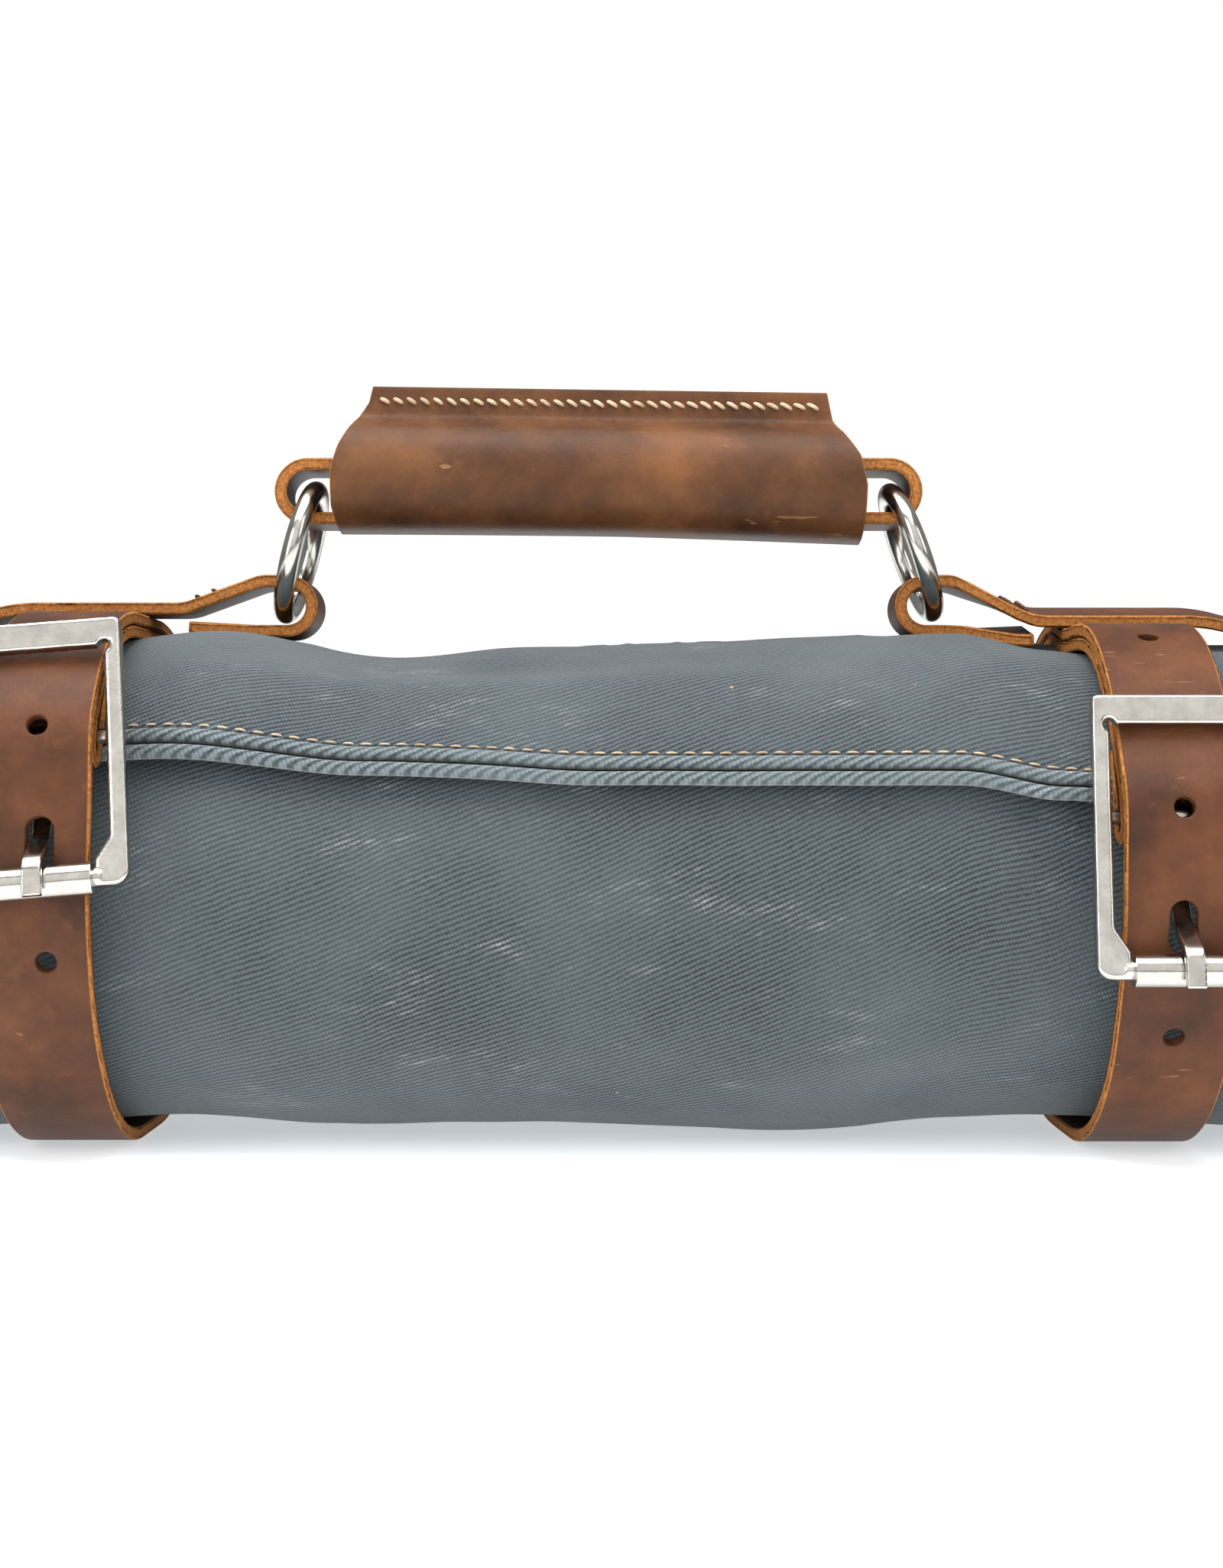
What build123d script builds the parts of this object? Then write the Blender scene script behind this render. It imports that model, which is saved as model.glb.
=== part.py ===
from build123d import *
import math
import os

# Rolled canvas carving tool roll with two buckled belts and a carrying handle.
# Millimetres. X runs along the roll, -Y is the front with the buckles, +Z is up.
# The origin is on the floor under the middle of the roll.

# ---- Canvas roll ----
roll_width = 400.0          # length of the roll along X
wrap_radius = 58.0          # outer canvas on the back half turn
flat_half = 7.0             # half of the flat stretch at the top and the bottom
first_drop = 3.0            # how much the outermost half turns shrink
inner_drop = 5.0            # how much each half turn inside them shrinks
outer_half_turns = 2        # half turns that shrink by first_drop
half_turns = 7              # half turns after the front flap
outer_cloth = 1.4
lining_cloth = 1.2
pocket_cloth = 1.2
cloth_gap = 0.1
hem_angle = 26.6            # the free edge, above the horizontal on the front
lining_peep = 3.2           # how far the lining fold shows below the canvas fold
cloth_margin = 8.0          # bare lining beside the pockets and the flap
pocket_depth = 205.0
flap_depth = 170.0
stitch_length = 3.0
stitch_pitch = 4.0
thread = 0.5
hem_stitch_rise = 6.0       # hem stitching above the free edge
skin_gap = 0.05             # thread and trim lie this far off what carries them

# ---- Belts ----
belt_width = 25.0
belt_thickness = 3.0
belt_gap = 0.3              # belt to canvas
belt_layer_gap = 0.25
belt_bridge = 2.2           # how far the belt stands forward to pass the free edge
belt_x = {"left": -125.0, "right": 122.5}
hole_pitch = 25.4
hole_size = 4.5
tongue_slot = 11.5          # worn length of the hole that the tongue uses
tail_hang = 12.0            # tail end below the roll's middle height, at the back

# ---- Buckles ----
buckle_tilt = {"left": 20.0, "right": 12.6}      # leaning back, degrees
buckle_apex = {"left": 21.7, "right": 31.3}      # roll's nearest point above the roller
buckle_lean = {"left": 4.8, "right": 0.0}        # twist in its own plane, degrees
bar_rise = 34.0             # roller to centre bar
keeper_rise = 57.0          # roller to keeper bar
bar_size = 3.4
frame_over_fold = 0.8       # frame plane above the middle of the folded belt
frame_plate = 3.0
frame_half_keeper = 18.6
frame_half_roller = 20.0
window_half_keeper = 14.8
window_half_roller = 15.6
keeper_bar = 6.7
keeper_notch = 1.3
roller_length = 24.0
roller_size = 7.2
roller_pin = 4.0
running_gap = 0.05          # radial, shaft to hole
side_gap = 0.4              # roller to the frame's feet
roller_clear = 0.7          # roller to the strap under it
tongue_width = 4.2
tongue_plate = 2.0
tongue_rise = 10.0          # its hole in the strap, above the roller
fold_ease = 1.1             # the fold's straight run past the centre bar
chape_slot = 6.0
turned_end = 16.0           # how far the folded end reaches past the centre bar
turned_drop = 2.6           # how far that end hugs the roll
rivet_size = 3.0
rivet_gap = 0.1
chape_rivet_rise = 11.0     # rivet above the centre bar
chape_rivet_spread = 14.0
rivet_start = -0.9          # rivet foot against the canvas

# ---- Rings, tabs and handle ----
ring_inner = 26.4
ring_wire = 4.8
ring_rise = 22.8            # ring centres above the canvas
ring_x = {"left": -76.5, "right": 73.8}
ring_lean = {"left": 14.5, "right": -20.0}
strap_width = 16.0
strap_thickness = 3.0
tab_cavity = 9.2
tab_cavity_rise = 9.1       # middle of the loop above the canvas
tab_nose = {"left": -71.5, "right": 69.0}
tab_short_end = 103.0       # cut end of the folded-under layer
tab_belt_gap = 0.4
tab_end = 193.0
tab_rivets = (177.0, 187.0)
tab_stitches = (97.0, 101.0)
handle_cavity = 10.2
handle_cavity_rise = 37.1
handle_nose = {"left": -82.1, "right": 75.8}
grip_span = (-69.2, 63.2)
grip_width = 29.0
grip_tall = 28.8
grip_wall = 2.3
grip_round = 8.0            # outer corner radius of the grip
grip_rise = 40.7            # middle of the grip above the canvas
flange_tall = 9.5
flange_thick = 4.6
grip_stitch_pitch = 3.9
grip_stitch_drop = 3.4

sides = ("left", "right")
outward = {"left": -1, "right": 1}
os.makedirs("parts", exist_ok=True)


def save(piece, name):
    piece.part.label = name
    export_step(piece.part, f"parts/{name}.step")


# ---- Strips that follow straight runs and tangent arcs ----
def route(corners):
    """Turns (across, up, radius) corners into a start, a heading and its moves."""
    spots = [Vector(across, up) for across, up, _ in corners]
    legs = [b - a for a, b in zip(spots, spots[1:])]
    headings = [math.degrees(math.atan2(leg.Y, leg.X)) for leg in legs]
    turns = [(b - a + 180) % 360 - 180 for a, b in zip(headings, headings[1:])]
    radii = [radius for _, _, radius in corners[1:-1]]
    cuts = [r * math.tan(math.radians(abs(t)) / 2) for r, t in zip(radii, turns)]
    ends = [0.0] + cuts + [0.0]
    moves = []
    for i, leg in enumerate(legs):
        moves.append((leg.length - ends[i] - ends[i + 1], 0.0))
        if i < len(turns):
            moves.append((radii[i], turns[i]))
    return spots[0], headings[0], moves


def move_length(size, turn):
    return size if turn == 0 else size * math.radians(abs(turn))


def side_line(start, heading, moves, shift):
    """Draws a route moved sideways to its left, and returns both of its ends."""
    ahead = Vector(1, 0).rotate(Axis.Z, heading)
    first = start + ahead.rotate(Axis.Z, 90) * shift
    here = first
    for size, turn in moves:
        if turn == 0 and size < 0.001:
            continue
        if turn == 0:
            edge = Line(here, here + ahead * size)
        else:
            radius = size - shift if turn > 0 else size + shift
            edge = JernArc(start=here, tangent=ahead, radius=radius, arc_size=turn)
        here = edge @ 1
        ahead = edge % 1
        here = Vector(here.X, here.Y)
        ahead = Vector(ahead.X, ahead.Y)
    return first, here


def strip(plane, start, heading, moves, low, high, width):
    """A strip of cloth or leather: its edge view, drawn on a plane and made wide."""
    with BuildPart() as piece:
        with BuildSketch(plane):
            with BuildLine():
                near = side_line(start, heading, moves, low)
                far = side_line(start, heading, moves, high)
                Line(near[0], far[0])
                Line(near[1], far[1])
            make_face()
        extrude(amount=width / 2, both=True)
    return piece.part


# ---- The rolled canvas ----
radii = [wrap_radius + first_drop, wrap_radius]
for turn_number in range(1, half_turns):
    drop = first_drop if turn_number < outer_half_turns else inner_drop
    radii.append(radii[-1] - drop)

canvas_bottom = belt_thickness + belt_gap
axis_height = canvas_bottom + wrap_radius
canvas_top = axis_height + wrap_radius
flap_centre = canvas_top - radii[0]
ring_height = canvas_top + ring_rise
tab_cavity_height = canvas_top + tab_cavity_rise
handle_cavity_height = canvas_top + handle_cavity_rise
grip_middle = canvas_top + grip_rise


def wound_cloth(depth, thickness, first, start_angle, end_trim, middle, width):
    """Cloth along the spiral, from half turn number first to the end of the roll."""
    if first == 0:
        angle = math.radians(start_angle)
        across = -flat_half - radii[0] * math.cos(angle)
        start = Vector(across, flap_centre + radii[0] * math.sin(angle))
        heading = 90 - start_angle
        moves = [(radii[0], start_angle - 90)]
    else:
        start = Vector(-flat_half, canvas_bottom)
        heading = 180
        moves = [(radii[first], -180)]
    for radius in radii[first + 1:]:
        moves.append((2 * flat_half, 0))
        moves.append((radius, -180))
    moves[-1] = (radii[-1], -180 + end_trim)
    return strip(Plane.YZ.offset(middle), start, heading, moves, -depth - thickness, -depth, width)


lining_depth = outer_cloth + cloth_gap
pocket_depth_in = lining_depth + lining_cloth + cloth_gap
peep_angle = math.degrees(lining_peep / radii[0])
pocket_middle = -roll_width / 2 + cloth_margin + pocket_depth / 2
flap_middle = roll_width / 2 - cloth_margin - flap_depth / 2

outer = wound_cloth(0, outer_cloth, 0, hem_angle, 0, 0, roll_width)
lining = wound_cloth(lining_depth, lining_cloth, 0, hem_angle - peep_angle, 4, 0, roll_width)
pockets = wound_cloth(pocket_depth_in, pocket_cloth, 2, 0, 12, pocket_middle, pocket_depth)
flap = wound_cloth(pocket_depth_in, pocket_cloth, 2, 0, 12, flap_middle, flap_depth)

# Tab rivets go through the canvas and its lining on the top of the roll.
rivet_hole = rivet_size / 2 + rivet_gap
tab_rivet_spots = [(outward[side] * x, 0) for side in sides for x in tab_rivets]

with BuildPart() as outer_panel:
    add(outer)
    with BuildSketch(Plane.XY.offset(canvas_top - first_drop)):
        with Locations(*tab_rivet_spots):
            Circle(rivet_hole)
    extrude(amount=2 * first_drop, mode=Mode.SUBTRACT)
save(outer_panel, "outer_panel")

with BuildPart() as lining_panel:
    add(lining)
    with BuildSketch(Plane.XY.offset(canvas_top - 1.5 * first_drop)):
        with Locations(*tab_rivet_spots):
            Circle(rivet_hole)
    extrude(amount=2 * first_drop, mode=Mode.SUBTRACT)
save(lining_panel, "lining_panel")

with BuildPart() as pocket_panel:
    add(pockets)
save(pocket_panel, "pocket_panel")

with BuildPart() as tool_flap:
    add(flap)
save(tool_flap, "tool_flap")

# One row of thread above the free edge of the flap.
stitch_angle = hem_angle + math.degrees(hem_stitch_rise / radii[0])
stitch_out = Vector(0, -math.cos(math.radians(stitch_angle)), math.sin(math.radians(stitch_angle)))
stitch_spot = Vector(0, -flat_half, flap_centre) + stitch_out * (radii[0] + skin_gap)
hem_plane = Plane(origin=stitch_spot, x_dir=(1, 0, 0), z_dir=stitch_out)
with BuildPart() as hem_stitching:
    with BuildSketch(hem_plane):
        with GridLocations(stitch_pitch, 1, int(roll_width / stitch_pitch) - 2, 1):
            Rectangle(stitch_length, thread)
    extrude(amount=thread)
save(hem_stitching, "hem_stitching")


# ---- Belts with their centre-bar roller buckles ----
belt_inner = wrap_radius + belt_gap
layer_one = belt_inner + belt_thickness / 2
layer_step = belt_thickness + belt_layer_gap
layer_two = layer_one + layer_step
belt_centre = Vector(-flat_half - belt_bridge, axis_height)
fold_radius = bar_size / 2 + rivet_gap + belt_thickness / 2
bar_height = belt_gap + belt_thickness + rivet_gap + bar_size / 2
fold_end = bar_rise - fold_radius - fold_ease
fold_low = bar_height - fold_radius
fold_high = bar_height + fold_radius
frame_height = fold_high + frame_over_fold
descent = 22.8              # how the layers fall away above the centre bar, degrees
crest = bar_rise + 4.0
under_roller = frame_height - roller_size / 2 - belt_thickness / 2 - roller_clear


def buckle_point(side, rise, height):
    """A point beside the buckle: rise above the roller, height above the canvas."""
    tilt = math.radians(buckle_tilt[side])
    out = Vector(-math.cos(tilt), math.sin(tilt))
    up = Vector(math.sin(tilt), math.cos(tilt))
    return belt_centre + out * (wrap_radius + height) + up * (rise - buckle_apex[side])


def flat_point(side, rise, height):
    point = buckle_point(side, rise, height)
    return point.X, point.Y


def meet_level(point, heading, level):
    """Where a line through a point reaches a height."""
    slope = math.tan(math.radians(heading))
    return point.X + (level - point.Y) / slope


def belt_route(side):
    """The whole belt: turned end, once round the roll, over the buckle, to the tail."""
    fall = 90 - buckle_tilt[side] - descent
    crest_two = crest + layer_step * math.tan(math.radians(descent) / 2)
    end_low = fold_low - turned_drop
    turned = [
        (*flat_point(side, bar_rise + turned_end, end_low), 0),
        (*flat_point(side, bar_rise + 4, fold_low), 14),
        (*flat_point(side, fold_end, fold_low), fold_radius),
        (*flat_point(side, fold_end, fold_high), fold_radius),
    ]
    crest_low = buckle_point(side, crest, fold_high)
    crest_high = buckle_point(side, crest_two, fold_high + layer_step)
    top_one = axis_height + layer_one
    top_two = axis_height + layer_two
    bottom = axis_height - layer_one
    back = flat_half + layer_one
    roller_spot = buckle_point(side, 0, under_roller)
    bar_spot = buckle_point(side, bar_rise - 1, fold_high + layer_step)
    climb = bar_spot - roller_spot
    climb_heading = math.degrees(math.atan2(climb.Y, climb.X))
    once_round = [
        (crest_low.X, crest_low.Y, 12),
        (meet_level(crest_low, fall, top_one), top_one, layer_one - 4),
        (back, top_one, layer_one),
        (back, bottom, layer_one),
        (meet_level(roller_spot, climb_heading, bottom), bottom, layer_one),
    ]
    tail = [
        (bar_spot.X, bar_spot.Y, 10),
        (crest_high.X, crest_high.Y, 12 + layer_step),
        (meet_level(crest_high, fall, top_two), top_two, layer_two - 4),
        (back + layer_step, top_two, layer_two),
        (back + layer_step, axis_height - tail_hang, 0),
    ]
    corners = turned + once_round + tail
    return corners, route(corners), climb_heading


def belt_holes(side, corners, path, climb_heading):
    """Places on the belt's middle line for its holes, the tongue's own first."""
    start, heading, moves = path
    before = sum(move_length(size, turn) for size, turn in moves[:16])
    corner = Vector(corners[8][0], corners[8][1])
    cut = corners[8][2] * math.tan(math.radians(180 - climb_heading) / 2)
    spot = buckle_point(side, tongue_rise, under_roller + 2.5)
    used = before + (spot - corner).length - cut
    return [used + hole_pitch * step for step in (0, -1, 1, 2, 3, 4)]


for side in sides:
    corners, path, climb_heading = belt_route(side)
    start, heading, moves = path
    half = belt_thickness / 2
    print(side, "belt, shortest run", round(min(s for s, t in moves if t == 0), 2))
    belt_plane = Plane.YZ.offset(belt_x[side])
    with BuildLine() as middle_line:
        side_line(start, heading, moves, 0)
    middle = belt_plane.from_local_coords(middle_line.wires()[0])
    tilt = math.radians(buckle_tilt[side])
    facing = Vector(0, -math.cos(tilt), math.sin(tilt))
    bar_spot = buckle_point(side, bar_rise, 0)
    upright = Plane(origin=(belt_x[side], bar_spot.X, bar_spot.Y), x_dir=(1, 0, 0), z_dir=facing)
    bar_plane = Plane(upright.location * Location((0, 0, 0), (0, 0, buckle_lean[side])))
    whole = strip(belt_plane, start, heading, moves, -half, half, belt_width)
    with BuildPart() as belt:
        add(whole)
        for number, distance in enumerate(belt_holes(side, corners, path, climb_heading)):
            spot = middle.position_at(distance, PositionMode.LENGTH)
            along = middle.tangent_at(distance, PositionMode.LENGTH)
            through = along.cross(Vector(1, 0, 0))
            slide = math.tan(math.radians(buckle_lean[side]))
            steps = (0, -1, 1, 2, 3, 4)[number]
            shift = slide * (bar_rise - tongue_rise - hole_pitch * steps * 0.6)
            hole_plane = Plane(origin=spot + Vector(shift, 0, 0), x_dir=(1, 0, 0), z_dir=through)
            with BuildSketch(hole_plane):
                if number == 0:
                    SlotOverall(tongue_slot, tongue_width + 1.8, rotation=90)
                else:
                    Circle(hole_size / 2)
            extrude(amount=belt_thickness, both=True, mode=Mode.SUBTRACT)
        # Slot in the fold for the tongue's knuckle.
        with BuildSketch(bar_plane.offset(bar_height)):
            with Locations((0, -1.5)):
                Rectangle(chape_slot, 14)
        extrude(amount=fold_radius + belt_thickness / 2 + 0.1, both=True, mode=Mode.SUBTRACT)

    # Cast frame: two rails, the keeper bar, the dropped centre bar and the roller's pin.
    low_end = -bar_rise
    high_end = keeper_rise - bar_rise + keeper_bar / 2
    plate_low = frame_height - frame_plate / 2
    foot_inner = roller_length / 2 + side_gap
    keeper_low = high_end - keeper_bar
    with BuildPart() as frame:
        with BuildSketch(bar_plane.offset(plate_low)):
            Polygon(
                (-frame_half_roller, low_end - 2), (frame_half_roller, low_end - 2),
                (frame_half_keeper, high_end), (-frame_half_keeper, high_end), align=None,
            )
            fillet(vertices().group_by(Axis.Y)[0], radius=3.6)
            fillet(vertices().group_by(Axis.Y)[-1], radius=1.6)
            Polygon(
                (-foot_inner, low_end - 2.5), (foot_inner, low_end - 2.5),
                (foot_inner, low_end + 4), (window_half_roller, low_end + 9),
                (window_half_keeper, keeper_low), (-window_half_keeper, keeper_low),
                (-window_half_roller, low_end + 9), (-foot_inner, low_end + 4),
                align=None, mode=Mode.SUBTRACT,
            )
            with Locations((-window_half_keeper, keeper_low), (window_half_keeper, keeper_low)):
                Circle(keeper_notch, mode=Mode.SUBTRACT)
        extrude(amount=frame_plate)
        top_edges = frame.faces().sort_by(Axis(bar_plane.origin, bar_plane.z_dir))[-1].outer_wire()
        chamfer(top_edges.edges(), length=0.5)
        with BuildSketch(bar_plane.offset(bar_height)):
            with Locations(*[(way * (window_half_roller + 1.2), 0) for way in (-1, 1)]):
                Rectangle(3.0, 4.4)
        extrude(amount=frame_height - bar_height)
        with BuildSketch(Plane(bar_plane.location * Location((0, 0, bar_height), (0, 90, 0)))):
            Circle(bar_size / 2)
        extrude(amount=window_half_roller + 2.4, both=True)
        pin_spot = Location((0, -bar_rise, frame_height), (0, 90, 0))
        with BuildSketch(Plane(bar_plane.location * pin_spot)):
            Circle(roller_pin / 2)
        extrude(amount=foot_inner + 1.5, both=True)
    save(frame, f"{side}_buckle_frame")

    with BuildPart() as roller:
        with BuildSketch(Plane(bar_plane.location * pin_spot)):
            Circle(roller_size / 2)
            Circle(roller_pin / 2 + running_gap, mode=Mode.SUBTRACT)
        extrude(amount=roller_length / 2, both=True)
    save(roller, f"{side}_roller")

    # Tongue: a knuckle round the centre bar and a bent blade up over the roller.
    tip_height = frame_height + roller_size / 2 + tongue_plate / 2 + 0.15
    blade = route([
        (0, bar_height, 0),
        (-21.5, 2.5, 9),
        (-31.2, tip_height + 0.3, 5),
        (-38.4, tip_height - 0.2, 0),
    ])
    edge_plane = Plane(
        origin=bar_plane.origin, x_dir=bar_plane.y_dir, z_dir=bar_plane.x_dir
    )
    blade_strip = strip(edge_plane, *blade, -tongue_plate / 2, tongue_plate / 2, tongue_width)
    bar_spot_plane = Plane(bar_plane.location * Location((0, 0, bar_height), (0, 90, 0)))
    with BuildPart() as tongue:
        add(blade_strip)
        with BuildSketch(bar_spot_plane):
            Circle(bar_size / 2 + running_gap + 1.5)
        extrude(amount=tongue_width / 2, both=True)
        with BuildSketch(bar_spot_plane):
            Circle(bar_size / 2 + running_gap)
        extrude(amount=tongue_width, both=True, mode=Mode.SUBTRACT)
    save(tongue, f"{side}_tongue")

    # Two flush rivets hold the folded end of the belt together above the bar.
    rivet_line = bar_plane.offset(rivet_start)
    spots = [(way * chape_rivet_spread / 2, chape_rivet_rise) for way in (-1, 1)]
    rivet_top = fold_high - (chape_rivet_rise - 4) * math.tan(math.radians(descent)) + 0.4
    with BuildPart() as chape_rivets:
        with BuildSketch(rivet_line):
            with Locations(*spots):
                Circle(rivet_size / 2)
        extrude(amount=rivet_top - rivet_start)
    with BuildPart() as drilled_belt:
        add(belt.part)
        with BuildSketch(rivet_line.offset(-belt_thickness)):
            with Locations(*spots):
                Circle(rivet_size / 2 + rivet_gap)
        extrude(amount=2 * belt_thickness + rivet_top, mode=Mode.SUBTRACT)
    save(drilled_belt, f"{side}_belt")
    save(chape_rivets, f"{side}_chape_rivets")


# ---- Tabs that carry the rings and pass over the belts ----
tab_centre = canvas_top + belt_gap + strap_thickness / 2
over_belt = axis_height + layer_two + belt_thickness / 2 + tab_belt_gap + strap_thickness / 2
tab_radius = tab_cavity / 2 + strap_thickness / 2
tab_low = tab_cavity_height - tab_radius
tab_high = tab_cavity_height + tab_radius

for side in sides:
    way = outward[side]
    nose = abs(tab_nose[side]) + strap_thickness / 2
    corners = [
        (-tab_short_end, tab_low + 0.9, 0),
        (-nose - 14, tab_low, 30),
        (-nose, tab_low, tab_radius),
        (-nose, tab_high, tab_radius),
        (-nose - 12.5, tab_high, 8),
        (-tab_short_end - 1, over_belt, 12),
        (-145, over_belt, 40),
        (-170, tab_centre, 30),
        (-tab_end, tab_centre, 0),
    ]
    half = strap_thickness / 2
    leather = strip(Plane.XZ, *route(corners), -half, half, strap_width)
    with BuildPart() as tab:
        add(leather if way < 0 else leather.mirror(Plane.YZ))
        with BuildSketch(Plane.XY.offset(tab_centre)):
            with Locations(*[(way * x, 0) for x in tab_rivets]):
                Circle(rivet_hole)
        extrude(amount=strap_thickness, both=True, mode=Mode.SUBTRACT)
    save(tab, f"{side}_tab")

    # Domed rivets through the tab, the canvas and its lining, with a burr inside.
    rivet_foot = canvas_top - lining_depth - lining_cloth - 1.2
    rivet_head = tab_centre + strap_thickness / 2 + skin_gap
    with BuildPart() as tab_rivet_pair:
        with BuildSketch(Plane.XY.offset(rivet_foot)):
            with Locations(*[(way * x, 0) for x in tab_rivets]):
                Circle(rivet_size / 2)
        extrude(amount=rivet_head - rivet_foot)
        with BuildSketch(Plane.XY.offset(rivet_head)):
            with Locations(*[(way * x, 0) for x in tab_rivets]):
                Circle(rivet_size * 1.35)
        extrude(amount=1.1, taper=30)
        with BuildSketch(Plane.XY.offset(rivet_foot)):
            with Locations(*[(way * x, 0) for x in tab_rivets]):
                Circle(rivet_size * 1.2)
        extrude(amount=1.1)
    save(tab_rivet_pair, f"{side}_tab_rivets")

    # Thread across the tab where its two layers are sewn together.
    slope = math.degrees(math.atan2(tab_high - over_belt, tab_short_end + 1 - nose - 12.5))
    with BuildPart() as tab_stitching:
        for x in tab_stitches:
            share = (x - nose - 12.5) / (tab_short_end + 1 - nose - 12.5)
            height = tab_high + (over_belt - tab_high) * share + half / math.cos(math.radians(slope))
            stitch_plane = Plane(
                origin=(way * x, 0, height + 2 * skin_gap), x_dir=(1, 0, 0),
                z_dir=(way * math.sin(math.radians(slope)), 0, math.cos(math.radians(slope))),
            )
            with BuildSketch(stitch_plane):
                with GridLocations(1, stitch_pitch, 1, 4):
                    Rectangle(thread, stitch_length)
            extrude(amount=thread)
    save(tab_stitching, f"{side}_tab_stitching")

    # Welded ring through the tab and the end loop of the handle.
    ring_plane = Plane(
        origin=(ring_x[side], 0, ring_height), x_dir=(0, 1, 0),
        z_dir=(math.cos(math.radians(ring_lean[side])), 0, -math.sin(math.radians(ring_lean[side]))),
    )
    with BuildPart() as ring:
        with Locations(ring_plane):
            Torus((ring_inner + ring_wire) / 2, ring_wire / 2)
    save(ring, f"{side}_ring")


# ---- Handle ----
loop_radius = handle_cavity / 2 + strap_thickness / 2
loop_half = handle_cavity / 2 + strap_thickness
loop_left = handle_nose["left"] + loop_half
loop_right = handle_nose["right"] - loop_half
with BuildPart() as handle_strap:
    with BuildSketch(Plane.XZ):
        with Locations(((loop_left + loop_right) / 2, handle_cavity_height)):
            SlotCenterToCenter(loop_right - loop_left, 2 * loop_half)
            SlotCenterToCenter(loop_right - loop_left, handle_cavity, mode=Mode.SUBTRACT)
    extrude(amount=strap_width / 2, both=True)
save(handle_strap, "handle_strap")

# Leather sleeve sewn round the strap, its two edges standing up as a flange.
grip_length = grip_span[1] - grip_span[0]
grip_plane = Plane.YZ.offset((grip_span[0] + grip_span[1]) / 2)
flange_foot = grip_middle + grip_tall / 2
with BuildPart() as grip_sleeve:
    with BuildSketch(grip_plane):
        with Locations((0, grip_middle)):
            RectangleRounded(grip_width, grip_tall, grip_round)
        with Locations((0, flange_foot + flange_tall / 2 - 1)):
            Rectangle(flange_thick, flange_tall + 2)
        fillet(vertices().group_by(Axis.Y)[-1], radius=1.0)
        with Locations((0, grip_middle)):
            RectangleRounded(
                grip_width - 2 * grip_wall, grip_tall - 2 * grip_wall, grip_round - grip_wall,
                mode=Mode.SUBTRACT,
            )
    extrude(amount=grip_length / 2, both=True)
save(grip_sleeve, "grip_sleeve")

# Filler that rounds the grip out round the flat strap.
with BuildPart() as grip_core:
    with BuildSketch(grip_plane):
        with Locations((0, grip_middle)):
            RectangleRounded(
                grip_width - 2 * grip_wall - 0.2, grip_tall - 2 * grip_wall - 0.2,
                grip_round - grip_wall - 0.1,
            )
        for layer in (-1, 1):
            with Locations((0, handle_cavity_height + layer * (handle_cavity + strap_thickness) / 2)):
                Rectangle(strap_width + 0.2, strap_thickness + 0.2, mode=Mode.SUBTRACT)
    extrude(amount=grip_length / 2 - 6, both=True)
save(grip_core, "grip_core")

# Saddle stitches through the flange, seen on both faces.
stitch_count = int((grip_length - 6) / grip_stitch_pitch)
stitch_height = flange_foot + flange_tall - grip_stitch_drop
with BuildPart() as grip_stitching:
    for face in (-1, 1):
        face_plane = Plane(
            origin=((grip_span[0] + grip_span[1]) / 2, face * (flange_thick / 2 + skin_gap), stitch_height),
            x_dir=(1, 0, 0), z_dir=(0, face, 0),
        )
        with BuildSketch(face_plane):
            with GridLocations(grip_stitch_pitch, 1, stitch_count, 1):
                Rectangle(stitch_length, thread * 1.4, rotation=18)
        extrude(amount=thread)
save(grip_stitching, "grip_stitching")
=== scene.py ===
# %% [markdown]
# A rolled canvas carving tool roll, finished over its fixed mechanical frame. The frame
# brings every hard part at its true place, in metres. This script dresses it: waxed
# twill, oiled leather with raw edges, nickel plate and waxed thread.

# %% The frame
import math
import bmesh
import bpy
import numpy as np
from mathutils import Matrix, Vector, noise


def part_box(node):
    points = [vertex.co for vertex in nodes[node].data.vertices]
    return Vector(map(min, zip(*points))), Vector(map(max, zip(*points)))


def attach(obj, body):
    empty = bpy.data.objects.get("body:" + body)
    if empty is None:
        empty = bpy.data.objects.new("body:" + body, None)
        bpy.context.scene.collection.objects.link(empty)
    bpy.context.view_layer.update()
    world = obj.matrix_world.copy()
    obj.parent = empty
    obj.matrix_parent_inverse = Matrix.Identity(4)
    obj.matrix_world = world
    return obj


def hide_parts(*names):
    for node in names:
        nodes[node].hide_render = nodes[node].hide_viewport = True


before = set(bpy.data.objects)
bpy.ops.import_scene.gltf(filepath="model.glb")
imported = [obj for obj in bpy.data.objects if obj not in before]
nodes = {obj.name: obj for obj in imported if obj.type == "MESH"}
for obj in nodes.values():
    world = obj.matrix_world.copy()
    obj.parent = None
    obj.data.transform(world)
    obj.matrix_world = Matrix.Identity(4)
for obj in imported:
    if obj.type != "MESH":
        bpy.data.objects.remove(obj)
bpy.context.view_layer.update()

MM = 0.001

# %% [markdown]
# Helpers come first. Colours are written as the sRGB hex values a maker would read off a
# colour card, and one function turns them to the linear values that the renderer wants.
# One small function adds a shader node with its settings and its links.

# %% Colour and node helpers
def linear(code, alpha=1.0):
    """sRGB hex, such as 8a5a34, to linear red, green and blue."""
    parts = [int(code[i:i + 2], 16) / 255 for i in (0, 2, 4)]
    parts = [p / 12.92 if p <= 0.04045 else ((p + 0.055) / 1.055) ** 2.4 for p in parts]
    return (*parts, alpha)


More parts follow.
